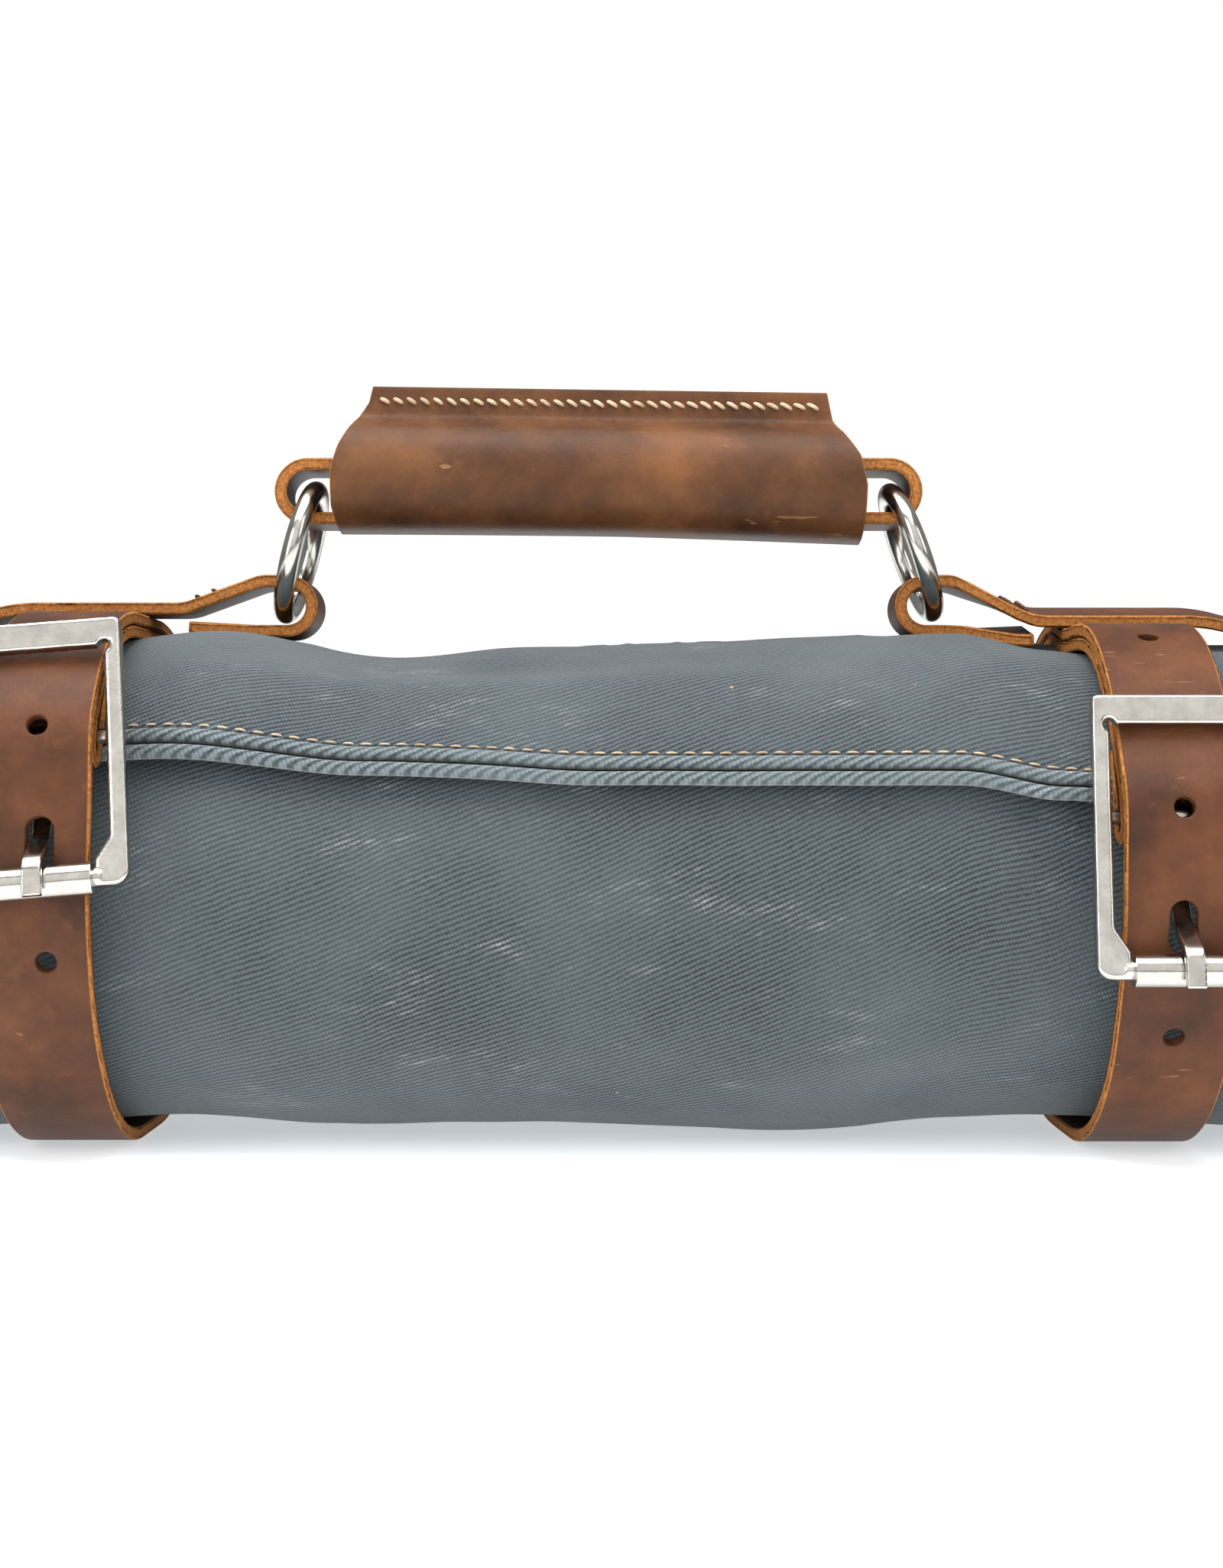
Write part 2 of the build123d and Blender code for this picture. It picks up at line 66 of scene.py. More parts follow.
def add(tree, kind, settings=None, **links):
    """Adds a shader node. Settings are its properties, links its inputs by name."""
    node = tree.nodes.new("ShaderNode" + kind)
    for name, value in (settings or {}).items():
        setattr(node, name, value)
    for name, value in links.items():
        key = int(name[1:]) if name[0] == "_" and name[1:].isdigit() else name.replace("_", " ")
        socket = node.inputs[key]
        if isinstance(value, bpy.types.NodeSocket):
            tree.links.new(value, socket)
        else:
            socket.default_value = value
    return node


def new_material(name):
    """An empty material with its Principled shader, ready for links."""
    material = bpy.data.materials.new(name)
    material.use_nodes = True
    tree = material.node_tree
    shader = tree.nodes["Principled BSDF"]
    return material, tree, shader


def ramp(tree, value, *stops):
    """A colour ramp through (place, hex) stops."""
    node = add(tree, "ValToRGB", Fac=value)
    elements = node.color_ramp.elements
    while len(elements) < len(stops):
        elements.new(0.5)
    for element, (place, code) in zip(elements, stops):
        element.position = place
        element.color = linear(code)
    return node.outputs["Color"]


def band(tree, value, low, high, first=0.0, last=1.0):
    """A value remapped smoothly from low..high to first..last."""
    return add(
        tree, "MapRange", {"interpolation_type": "SMOOTHSTEP"},
        Value=value, From_Min=low, From_Max=high, To_Min=first, To_Max=last,
    ).outputs["Result"]


def sums(tree, kind, first, second=0.0, clamp=False):
    """One arithmetic step on two values."""
    settings = {"operation": kind, "use_clamp": clamp}
    return add(tree, "Math", settings, _0=first, _1=second).outputs[0]


def blend(tree, factor, first, second, kind="MIX"):
    """Mixes two colours."""
    node = add(tree, "Mix", {"data_type": "RGBA", "blend_type": kind})
    for key, value in ((0, factor), (6, first), (7, second)):
        if isinstance(value, bpy.types.NodeSocket):
            tree.links.new(value, node.inputs[key])
        else:
            node.inputs[key].default_value = value
    return node.outputs[2]


def cloud(tree, place, size_mm, detail=4.0, roughness=0.55, stretch=(1, 1, 1), seed=0.0):
    """Soft noise whose blotches are about size_mm across, in object space."""
    mapped = add(tree, "Mapping", Vector=place)
    mapped.inputs["Scale"].default_value = [s / (size_mm * MM) for s in stretch]
    mapped.inputs["Location"].default_value = (seed, seed * 0.7, -seed)
    node = add(
        tree, "TexNoise", Vector=mapped.outputs[0], Scale=1.0, Detail=detail,
        Roughness=roughness,
    )
    return node.outputs["Fac"]


def rise(tree, height, depth_mm, strength=1.0, before=None):
    """A bump whose full height is depth_mm."""
    settings = dict(Height=height, Distance=depth_mm * MM, Strength=strength)
    if before is not None:
        settings["Normal"] = before
    return add(tree, "Bump", **settings).outputs["Normal"]


print("helpers ready")

# %% [markdown]
# Waxed cotton twill is woven so that each weft thread steps over the next warp thread,
# which leaves fine slanting ridges, called wales. Wax darkens the cloth and dries to pale
# chalky scuffs wherever it was handled. The ridges are drawn from the cloth's own flat
# coordinates, held in its UV map in millimetres, so they run round the roll with it.

# %% Waxed twill and cotton lining
WALE_MM = 1.15            # ridge to ridge
WALE_SLOPE = math.radians(25)


def waxed_twill(name, wale_mm, body_dark, body_light, chalk, scuffs):
    """Waxed cotton twill, brushed and handled: a matt, dry, slightly dusty cloth."""
    material, tree, shader = new_material(name)
    flat = add(tree, "UVMap").outputs["UV"]
    axes = add(tree, "SeparateXYZ", Vector=flat)
    across, along = axes.outputs[0], axes.outputs[1]
    place = add(tree, "TexCoord").outputs["Object"]
    # The weaver's ridges wander a little, as no thread is quite even.
    wander = cloud(tree, place, 9, detail=2.0)
    lean = sums(tree, "MULTIPLY", across, math.sin(WALE_SLOPE))
    climb = sums(tree, "MULTIPLY", along, math.cos(WALE_SLOPE))
    ridge_place = sums(tree, "SUBTRACT", climb, lean)
    ridge_place = sums(tree, "ADD", ridge_place, sums(tree, "MULTIPLY", wander, 1.1))
    ridge = sums(tree, "SINE", sums(tree, "MULTIPLY", ridge_place, 2 * math.pi / wale_mm))
    ridge = band(tree, ridge, -1.0, 1.0)
    # Steps along each ridge, where single threads dive under.
    step_place = sums(
        tree, "ADD", sums(tree, "MULTIPLY", across, 1.0), sums(tree, "MULTIPLY", along, 0.45)
    )
    steps = sums(tree, "SINE", sums(tree, "MULTIPLY", step_place, 2 * math.pi / (0.8 * wale_mm)))
    steps = band(tree, steps, -1.0, 1.0)
    slub = cloud(tree, place, 0.9, detail=3.0, stretch=(1.0, 1.0, 1.0))
    broken = sums(tree, "ADD", sums(tree, "MULTIPLY", steps, 0.5), 0.35)
    weave = sums(tree, "MULTIPLY", ridge, broken)
    weave = sums(tree, "ADD", weave, sums(tree, "MULTIPLY", slub, 0.6))
    body = ramp(tree, weave, (0.18, body_dark), (0.8, body_light))
    # Broad tone drift, where the wax lies thicker or thinner.
    drift = cloud(tree, place, 46, detail=5.0, seed=2.0)
    body = blend(tree, band(tree, drift, 0.34, 0.7, 0.0, 0.42), body, linear(chalk))
    # Chalky rub marks catch only the tops of the ridges.
    rub = cloud(tree, place, 17, detail=6.0, roughness=0.7, stretch=(0.55, 1.0, 1.3), seed=5.0)
    streak = cloud(tree, place, 3.2, detail=4.0, roughness=0.75, stretch=(0.25, 1.0, 1.0), seed=9.0)
    marks = sums(tree, "MULTIPLY", band(tree, rub, 0.52, 0.7), band(tree, streak, 0.42, 0.7))
    marks = sums(tree, "MULTIPLY", marks, band(tree, weave, 0.35, 0.85))
    body = blend(tree, sums(tree, "MULTIPLY", marks, scuffs, True), body, linear("b9bcc0"))
    # A few specks of sawdust and lint.
    specks = add(tree, "TexVoronoi", {"feature": "F1"}, Vector=place, Scale=62.0, Randomness=1.0)
    dust = band(tree, specks.outputs["Distance"], 0.035, 0.015)
    body = blend(tree, sums(tree, "MULTIPLY", dust, 0.7), body, linear("c39a6c"))
    tree.links.new(body, shader.inputs["Base Color"])
    shader.inputs["Roughness"].default_value = 0.86
    shader.inputs["Specular IOR Level"].default_value = 0.28
    shader.inputs["Sheen Weight"].default_value = 0.22
    shader.inputs["Sheen Roughness"].default_value = 0.5
    folds = rise(tree, cloud(tree, place, 11, detail=3.0), 0.5, 0.5)
    tree.links.new(rise(tree, weave, 0.22, 0.9, folds), shader.inputs["Normal"])
    return material


TWILL = waxed_twill("waxed_twill", WALE_MM, "0f1416", "4b555a", "555e60", 0.42)
LINING = waxed_twill("cotton_lining", 0.9, "1a1f20", "384042", "424a4c", 0.35)
HEM = waxed_twill("folded_hem", 1.35, "1c2224", "727d80", "6c7577", 0.5)
print("cloth materials ready")

# %% [markdown]
# Bridle leather is dyed and oiled, so the grain side is a deep satin brown with fine
# creases and rubbed lighter places, while the cut edges stay raw: fibrous, orange-tan,
# with a darker line in the middle of the thickness where the dye didn't reach the same.
# Which side is which is painted on the mesh as a colour attribute called edge.

# %% Oiled leather
def oiled_leather(name, dark, mid, light, edge_dark, edge_light, shine):
    """Oiled strap leather: satin grain side, dry fibrous cut edge."""
    material, tree, shader = new_material(name)
    place = add(tree, "TexCoord").outputs["Object"]
    cut = add(tree, "Attribute", {"attribute_name": "edge"}).outputs["Color"]
    cut = add(tree, "SeparateColor", Color=cut)
    is_edge, edge_middle = cut.outputs[0], cut.outputs[1]
    tone = cloud(tree, place, 24, detail=6.0, roughness=0.6, seed=3.0)
    grain = add(tree, "TexVoronoi", {"feature": "DISTANCE_TO_EDGE"}, Vector=place, Scale=1900.0)
    pores = band(tree, grain.outputs["Distance"], 0.0, 0.12)
    colour = ramp(tree, tone, (0.28, dark), (0.5, mid), (0.78, light))
    rubbed = band(tree, cloud(tree, place, 6, detail=5.0, roughness=0.7, seed=8.0), 0.56, 0.75)
    colour = blend(tree, sums(tree, "MULTIPLY", rubbed, 0.4), colour, linear(light))
    # Long light scratches, a hair wide.
    scratch = cloud(
        tree, place, 1.2, detail=2.0, roughness=0.4, stretch=(0.16, 1.0, 0.35), seed=12.0
    )
    where = band(tree, cloud(tree, place, 30, detail=2.0, seed=15.0), 0.5, 0.62)
    scratch = sums(tree, "MULTIPLY", band(tree, scratch, 0.7, 0.76), where)
    colour = blend(tree, sums(tree, "MULTIPLY", scratch, 0.3), colour, linear("b98a60"))
    fibre = cloud(tree, place, 0.8, detail=5.0, roughness=0.8, seed=4.0)
    raw = ramp(tree, fibre, (0.3, edge_dark), (0.62, edge_light))
    middle = sums(tree, "MULTIPLY", band(tree, edge_middle, 0.55, 0.9), 0.45)
    raw = blend(tree, middle, raw, linear(dark))
    colour = blend(tree, is_edge, colour, raw)
    tree.links.new(colour, shader.inputs["Base Color"])
    satin = sums(tree, "MULTIPLY", tone, 0.18)
    rough = sums(
        tree, "ADD", sums(tree, "ADD", satin, shine), sums(tree, "MULTIPLY", is_edge, 0.35)
    )
    tree.links.new(rough, shader.inputs["Roughness"])
    shader.inputs["Specular IOR Level"].default_value = 0.2
    creases = cloud(tree, place, 3.0, detail=6.0, roughness=0.65, seed=6.0)
    height = rise(tree, creases, 0.35, 0.45)
    height = rise(tree, pores, 0.05, 0.5, height)
    rough_edge = sums(tree, "MULTIPLY", fibre, is_edge)
    tree.links.new(rise(tree, rough_edge, 0.5, 0.8, height), shader.inputs["Normal"])
    return material


BELT = oiled_leather("oiled_belt_leather", "2f1a0e", "502d18", "6e4226", "6e3d1b", "c07f42", 0.38)
GRIP = oiled_leather("pull_up_grip_leather", "341d0e", "54331b", "774b28", "6a3f1e", "a96d38", 0.36)
print("leather materials ready")

# %% [markdown]
# The buckles and rings are cast or bent steel with bright nickel plate, tumbled smooth.
# The plate is a little warm, with soft smudges and small dull scuffs.

# %% Nickel plate, brass and thread
def nickel_plate(name, bright, dull):
    material, tree, shader = new_material(name)
    place = add(tree, "TexCoord").outputs["Object"]
    smudge = cloud(tree, place, 5, detail=5.0, roughness=0.65)
    scuff = cloud(tree, place, 0.9, detail=4.0, roughness=0.7, stretch=(0.3, 1, 1), seed=4.0)
    colour = ramp(tree, smudge, (0.35, dull), (0.65, bright))
    tree.links.new(colour, shader.inputs["Base Color"])
    shader.inputs["Metallic"].default_value = 1.0
    worn = sums(tree, "MULTIPLY", band(tree, scuff, 0.55, 0.75), 0.08)
    rough = sums(tree, "ADD", sums(tree, "MULTIPLY", smudge, 0.05), 0.15)
    tree.links.new(sums(tree, "ADD", rough, worn), shader.inputs["Roughness"])
    wavy = rise(tree, cloud(tree, place, 9.0, detail=1.0), 0.05, 0.15)
    tree.links.new(rise(tree, scuff, 0.01, 0.15, wavy), shader.inputs["Normal"])
    return material


def waxed_thread(name, dark, light):
    """Three-ply waxed linen thread: round, matt, faintly twisted."""
    material, tree, shader = new_material(name)
    place = add(tree, "TexCoord").outputs["Object"]
    twist = add(tree, "TexWave", {"bands_direction": "DIAGONAL"}, Vector=place, Scale=900.0)
    tone = cloud(tree, place, 5, detail=3.0)
    tree.links.new(ramp(tree, tone, (0.3, dark), (0.7, light)), shader.inputs["Base Color"])
    tree.links.new(rise(tree, twist.outputs["Fac"], 0.08, 0.6), shader.inputs["Normal"])
    shader.inputs["Roughness"].default_value = 0.7
    return material


NICKEL = nickel_plate("nickel_plate", "bfbcb5", "aaa79f")
BRASS = nickel_plate("old_brass", "b08d57", "7d6238")
CREAM = waxed_thread("cream_thread", "a38b6f", "d2bb9b")
BROWN = waxed_thread("brown_thread", "3d2415", "6a4326")
print("metal and thread materials ready")

# %% [markdown]
# The roll is three and a half turns of two sewn cloths with pockets inside. Each cloth is
# one long sheet, so it is built as a grid: one direction runs along the roll, the other
# follows a flattened spiral of half turns. The frame gives its height and length; the
# belts squeeze it, and between them it sags onto the bench.

# %% The spiral that every cloth follows
LOW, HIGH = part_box("outer_panel")
ROLL_HALF = HIGH[0]
FLAT_HALF = 7 * MM
FIRST_DROP, INNER_DROP = 3 * MM, 5 * MM
WRAP = (HIGH[2] - LOW[2]) / 2
RADII = [WRAP + FIRST_DROP, WRAP, WRAP - FIRST_DROP]
RADII += [RADII[2] - INNER_DROP * k for k in range(1, 6)]
FLAP_CENTRE = HIGH[2] - RADII[0]
BELT_X = [sum(c[0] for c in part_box(n)) / 2 for n in ("left_belt", "right_belt")]


def half_turn_centre(k):
    """Middle of half turn k: even ones bulge to the front, odd ones to the back."""
    level = FLAP_CENTRE
    for i in range(1, k + 1):
        step = RADII[i - 1] - RADII[i]
        level += step if i % 2 else -step
    return (-FLAT_HALF if k % 2 == 0 else FLAT_HALF), level


def spiral(first, start, step, trim):
    """Rows of (y, z, outward y, outward z) along the spiral, from half turn first."""
    rows = []
    for k in range(first, len(RADII)):
        cy, cz = half_turn_centre(k)
        sign = -1 if k % 2 == 0 else 1
        begin = start if k == 0 else (-math.pi / 2 if k % 2 == 0 else math.pi / 2)
        end = math.pi / 2 if k % 2 == 0 else -math.pi / 2
        if k == len(RADII) - 1:
            end += trim
        count = max(4, int(abs(end - begin) * RADII[k] / step))
        for i in range(count + 1):
            a = begin + (end - begin) * i / count
            ny, nz = sign * math.cos(a), math.sin(a)
            rows.append((cy + RADII[k] * ny, cz + RADII[k] * nz, ny, nz, k))
    return rows


print("cloth length along the spiral:", round(sum(math.pi * r for r in RADII[1:]), 3), "m")

# %% [markdown]
# A filled or half-empty roll is never a true cylinder. Four things shape this one: the
# belts pull it in, the middle sinks between them, the underside settles on the bench,
# and the hand that rolled it left shallow dents. All of them fade from one turn to the
# next, so the layers keep their order.

# %% Squeeze, sag and dents
def bell(x, middle, width):
    return math.exp(-0.5 * ((x - middle) / width) ** 2)


def ease(value, start, end):
    t = min(1.0, max(0.0, (value - start) / (end - start)))
    return t * t * (3 - 2 * t)


def pressed(x, y, z):
    """The right tab lies at a slant: its front edge has sunk, with all that is under it."""
    along = ease(x, 0.082, 0.102) * (1 - ease(x, 0.150, 0.172))
    across = min(1.0, (0.008 - y) / 0.016) if y > -0.008 else 1 - ease(-y, 0.012, 0.050)
    return 3.2 * MM * along * max(0.0, across) * ease(z, 0.106, 0.117)


def settle(x, y, z, ny, nz, turn):
    """How far the cloth moves outward here, in metres."""
    fade = (1.0, 1.0, 0.8, 0.5, 0.35, 0.2, 0.1, 0.1)[turn]
    beside = max(bell(x, middle, 0.0135) for middle in BELT_X)
    move = 1.3 * MM * (1 - beside)
    up, down = max(0.0, nz) ** 1.6, max(0.0, -nz) ** 2.5
    top = 2.3 * bell(x, -0.098, 0.012) + 1.5 * bell(x, -0.080, 0.010) - 4.4 * bell(x, -0.055, 0.017)
    top += 1.6 * bell(x, 0.083, 0.020) - 1.6 * bell(x, -0.018, 0.020) - 0.7 * bell(x, 0.022, 0.02)
    move += up * top * MM
    if abs(x) > 60 * MM:
        # The ring tabs press the cloth flat along the very top.
        move -= max(0.0, move - 0.2 * MM) * bell(y, 0, 0.0085) * min(1, (abs(x) - 0.060) / 0.006)
    low = 1.6 * bell(x, 0.040, 0.014) - 2.6 * bell(x, -0.104, 0.012) - 1.3 * bell(x, -0.088, 0.010)
    low -= 2.9 * bell(x, 0.100, 0.015) + 1.0 * bell(x, 0.075, 0.012) + 1.0 * bell(x, -0.03, 0.03)
    move += down * low * MM
    if ny < 0:
        # A long shallow valley on the upper front, between a ridge and the top.
        valley = 0.1150 + 0.0016 * math.sin(x * 62) - 0.035 * abs(x + 0.035)
        move -= 1.9 * MM * bell(z, valley, 0.0030) * bell(x, -0.028, 0.042)
        move += 1.2 * MM * bell(z, valley - 0.0056, 0.0032) * bell(x, -0.028, 0.048)
        # Slack gathers into short slanting folds where the belts bite.
        for place_x, place_z, slope, size in ((0.088, 0.066, 0.9, 1.0), (0.080, 0.047, 0.5, 0.8),
                                             (0.070, 0.026, 0.15, 0.9), (-0.098, 0.064, -0.8, 0.6)):
            off = (z - place_z) - slope * (x - place_x)
            move += size * MM * bell(off, 0, 0.0042) * bell(x, place_x, 0.020)
            move -= 0.8 * size * MM * bell(off, -0.0085, 0.0042) * bell(x, place_x, 0.020)
    move -= pressed(x, y, z) * max(0.0, nz)
    place = Vector((x, y, z))
    lumps = noise.noise(place * 22) * 0.65 + noise.noise(place * 60 + Vector((5, 1, 2))) * 0.45
    quiet = 1.0 - 0.8 * max(bell(x, b, 0.016) for b in BELT_X)
    return fade * (move + lumps * MM * quiet * 0.8)


def hem_height(x):
    """The free edge wanders as it was rolled slightly askew: high left, low right."""
    stops = [(-0.2, 0.0972), (-0.104, 0.0938), (-0.053, 0.0910), (0.0, 0.0884), (0.077, 0.0880)]
    stops += [(0.1, 0.0846), (0.125, 0.0822), (0.2, 0.0805)]
    for (x0, z0), (x1, z1) in zip(stops, stops[1:]):
        if x <= x1:
            t = (x - x0) / (x1 - x0)
            return z0 + (z1 - z0) * t * t * (3 - 2 * t)
    return stops[-1][1]


print("free edge heights in mm:", [round(hem_height(x) / MM, 1) for x in (-0.11, 0, 0.11)])

# %% [markdown]
# Both faces of a cloth are laid out from the same rows, one cloth thickness apart, and
# joined all round, so each sheet is a closed skin. The outermost edge is folded back on
# itself and sewn, which shows as a rounded roll about three millimetres tall with the
# thread sunk into a groove above it. The lining has its own fold just below.

# %% Building a wound cloth
def make_object(name, vertices, faces, smooth=True):
    mesh = bpy.data.meshes.new(name)
    mesh.from_pydata([tuple(v) for v in vertices], [], faces)
    mesh.validate()
    mesh.update()
    made = bpy.data.objects.new(name, mesh)
    bpy.context.scene.collection.objects.link(made)
    for polygon in mesh.polygons:
        polygon.use_smooth = smooth
    return made


def wound_cloth(name, depth, thickness, first, span, columns, edge_drop=0.0, fold=0.0, trim=0.0,
                step=2.4 * MM, quilt=None, fold_reach=3.0 * MM):
    """A cloth wound along the spiral. depth is how far it lies inside the outer skin."""
    xs = [span[0] + (span[1] - span[0]) * i / columns for i in range(columns + 1)]
    shell = {"out": [], "in": []}
    flat = []
    for x in xs:
        start = 0.0
        if first == 0:
            start = math.asin(min(0.95, (hem_height(x) - edge_drop - FLAP_CENTRE) / RADII[0]))
        rows = spiral(first, start, step, trim)
        if first == 0:
            # Same number of rows for every column: spread the first arc evenly.
            arc = [r for r in rows if r[4] == 0]
            rest = [r for r in rows if r[4] != 0]
            length = (math.pi / 2 - start) * RADII[0]
            near = [0.0, 0.25, 0.6, 1.0, 1.4, 1.8, 2.2, 2.6, 3.0, 3.4, 4.0, 5.0]
            places = [n * MM for n in near]
            more = 34
            places += [places[-1] + (length - places[-1]) * (i + 1) / more for i in range(more)]
            cy, cz = half_turn_centre(0)
            arc = []
            for p in places:
                a = start + p / RADII[0]
                ny, nz = -math.cos(a), math.sin(a)
                arc.append((cy + RADII[0] * ny, cz + RADII[0] * nz, ny, nz, 0))
            rows = arc + rest
        travelled, last = 0.0, None
        for y, z, ny, nz, turn in rows:
            if last is not None:
                travelled += math.hypot(y - last[0], z - last[1])
            last = (y, z)
            move = settle(x, y, z, ny, nz, turn)
            extra_out = 0.0
            if fold and travelled < 4.4 * MM:
                t = travelled / fold_reach
                if t < 1:
                    extra_out = fold * max(0.0, 1 - (2 * t - 1) ** 2) ** 0.55
                extra_out -= 0.4 * MM * bell(travelled, fold_reach + 0.1 * MM, 0.4 * MM)
            if quilt:
                move -= quilt(x, travelled)
            o, i = move - depth + extra_out, move - depth - thickness
            shell["out"].append((x, y + ny * o, max(0.3 * MM, z + nz * o)))
            shell["in"].append((x, y + ny * i, max(0.9 * MM, z + nz * i)))
            flat.append((x / MM, travelled / MM))
        edge_rows = len(rows)
    count = len(xs) * edge_rows
    vertices = shell["out"] + shell["in"]
    faces = []
    for c in range(len(xs) - 1):
        for r in range(edge_rows - 1):
            a, b = c * edge_rows + r, (c + 1) * edge_rows + r
            faces.append((a, a + 1, b + 1, b))
            faces.append((count + a, count + b, count + b + 1, count + a + 1))
        a, b = c * edge_rows, (c + 1) * edge_rows
        faces.append((a, b, count + b, count + a))
        a, b = a + edge_rows - 1, b + edge_rows - 1
        faces.append((b, a, count + a, count + b))
    for r in range(edge_rows - 1):
        a = r
        faces.append((a + 1, a, count + a, count + a + 1))
        b = (len(xs) - 1) * edge_rows + r
        faces.append((b, b + 1, count + b + 1, count + b))
    cloth = make_object(name, vertices, faces)
    layer = cloth.data.uv_layers.new(name="flat")
    index = np.empty(len(cloth.data.loops), dtype=np.int32)
    cloth.data.loops.foreach_get("vertex_index", index)
    coordinates = np.array(flat + flat, dtype=np.float32)[index]
    layer.data.foreach_set("uv", coordinates.ravel())
    length = travelled
    print(name, len(vertices), "points, cut length", round(length / MM), "mm")
    return cloth, length


FINE = 200
canvas, canvas_length = wound_cloth(
    "rolled_canvas", 0.0, 1.4 * MM, 0, (-ROLL_HALF, ROLL_HALF), FINE, fold=1.1 * MM
)
lining, lining_length = wound_cloth(
    "rolled_lining", 1.5 * MM, 1.2 * MM, 0, (-ROLL_HALF, ROLL_HALF), FINE,
    edge_drop=2.9 * MM, fold=2.0 * MM, trim=math.radians(4), fold_reach=2.8 * MM,
)
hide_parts("outer_panel")
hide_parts("lining_panel")

# %% [markdown]
# Inside, one long panel is sewn down in channels that make the tool pockets, and a flap
# opposite folds over the tool tips. Only their edges show at the ends of the roll.

# %% Pockets and tip flap
POCKET_PITCH = 38 * MM


def channels(x, travelled):
    """Each pocket is a little slack, and its seam is pulled down flat."""
    return 0.5 * MM * abs(math.cos(math.pi * travelled / POCKET_PITCH)) ** 6


INSIDE = 2.8 * MM
low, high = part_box("pocket_panel"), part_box("tool_flap")
pockets, pocket_length = wound_cloth(
    "pocket_panel_cloth", INSIDE, 1.2 * MM, 2, (low[0][0], low[1][0]), 50,
    trim=math.radians(12), quilt=channels,
)
tip_flap, flap_length = wound_cloth(
    "tip_flap_cloth", INSIDE, 1.2 * MM, 2, (high[0][0], high[1][0]), 40, trim=math.radians(12)
)
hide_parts("pocket_panel")
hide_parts("tool_flap")
for cloth, skin in ((canvas, TWILL), (lining, LINING), (pockets, LINING), (tip_flap, TWILL)):
    cloth.data.materials.append(skin)
    cloth.data.materials.append(HEM)
    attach(cloth, "roll")
# The folded edges show coarser ribs, because the cloth is doubled and pulled round.
for cloth, reach in ((canvas, 3.0), (lining, 2.8)):
    flat = cloth.data.uv_layers["flat"].data
    for polygon in cloth.data.polygons:
        if max(flat[i].uv[1] for i in polygon.loop_indices) <= reach + 0.01:
            polygon.material_index = 1

# %% [markdown]
# The straps are cut from one hide three millimetres thick. Their cut edges are slightly
# rounded by use and show raw fibre. The frame already holds each strap with its holes,
# so a copy is cleaned up, its long edges are rounded, its cut faces are marked raw, and
# each cut face is inset with a narrow inner band. The band is not marked apart, so the
# leather colour's darker middle of the hide does not show.

# %% Rounding a strap and marking its cut faces
def cut_face(face, width_axis, low, high):
    """True on the strap's two long cut faces, but not inside its punched holes."""
    centre = face.calc_center_median()[width_axis]
    near_side = min(centre - low, high - centre) < 0.8 * MM
    return near_side and abs(face.normal[width_axis]) > 0.7


def leather_strap(node, name, body, skin, width_axis, bend=None, round_mm=0.5, slice_mm=6.0):
    """A strap copied from the frame, with rounded edges, marked cut faces and a bend."""
    bm = bmesh.new()
    bm.from_mesh(nodes[node].data)
    bmesh.ops.remove_doubles(bm, verts=bm.verts, dist=0.02 * MM)
    bmesh.ops.dissolve_limit(bm, angle_limit=math.radians(1.2), verts=bm.verts, edges=bm.edges)
    sharp = [e for e in bm.edges if len(e.link_faces) == 2 and e.calc_face_angle(0) > 0.8]
    bmesh.ops.bevel(
        bm, geom=sharp, offset=round_mm * MM, segments=3, profile=0.5, affect="EDGES",
        clamp_overlap=False,
    )
    limits = [v.co[width_axis] for v in bm.verts]
    limits = (min(limits), max(limits))
    cut = [f for f in bm.faces if cut_face(f, width_axis, *limits)]
    if cut:
        bmesh.ops.inset_region(bm, faces=cut, thickness=0.62 * MM, use_even_offset=True)
    low = [min(v.co[i] for v in bm.verts) for i in range(3)]
    high = [max(v.co[i] for v in bm.verts) for i in range(3)]
    for axis in range(3):
        spots = int((high[axis] - low[axis]) / (slice_mm * MM))
        for i in range(1, spots + 1):
            spot, normal = [0, 0, 0], [0, 0, 0]
            spot[axis] = low[axis] + (high[axis] - low[axis]) * i / (spots + 1)
            normal[axis] = 1
            everything = bm.verts[:] + bm.edges[:] + bm.faces[:]
            bmesh.ops.bisect_plane(
                bm, geom=everything, dist=0.005 * MM, plane_co=spot, plane_no=normal
            )
    bmesh.ops.triangulate(bm, faces=[f for f in bm.faces if len(f.verts) > 4])
    mesh = bpy.data.meshes.new(name)
    bm.normal_update()
    side = bm.verts.layers.float.new("side")
    for v in bm.verts:
        v[side] = 1.0 if any(cut_face(f, width_axis, *limits) for f in v.link_faces) else 0.0
    bm.to_mesh(mesh)
    sides = [v[side] for v in bm.verts]
    bm.free()
    made = bpy.data.objects.new(name, mesh)
    bpy.context.scene.collection.objects.link(made)
    paint = mesh.color_attributes.new("edge", "FLOAT_COLOR", "POINT")
    for index, value in enumerate(sides):
        paint.data[index].color = (value, 0.0, 0.0, 1.0)
    finish_strap(made, body, skin, bend)
    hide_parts(node)
    print(name, len(mesh.vertices), "points")
    return made


def finish_strap(made, body, skin, bend):
    """Bends the strap, shades it smooth with crisp cut faces, and gives it its leather."""
    if bend:
        for v in made.data.vertices:
            v.co = bend(v.co.copy())
    for polygon in made.data.polygons:
        polygon.use_smooth = True
    weigh = made.modifiers.new("flat faces stay flat", "WEIGHTED_NORMAL")
    weigh.keep_sharp = True
    made.data.materials.clear()
    made.data.materials.append(skin)
    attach(made, body)


def belt_bend(co):
    """A worn strap is never quite true: it wavers a little and its edges curl."""
    drift = noise.noise(co * 14) * 0.5 * MM + noise.noise(co * 45) * 0.15 * MM
    lift = noise.noise(co * 20 + Vector((3, 1, 7))) * 0.12 * MM
    return co + Vector((drift, lift, -pressed(*co)))


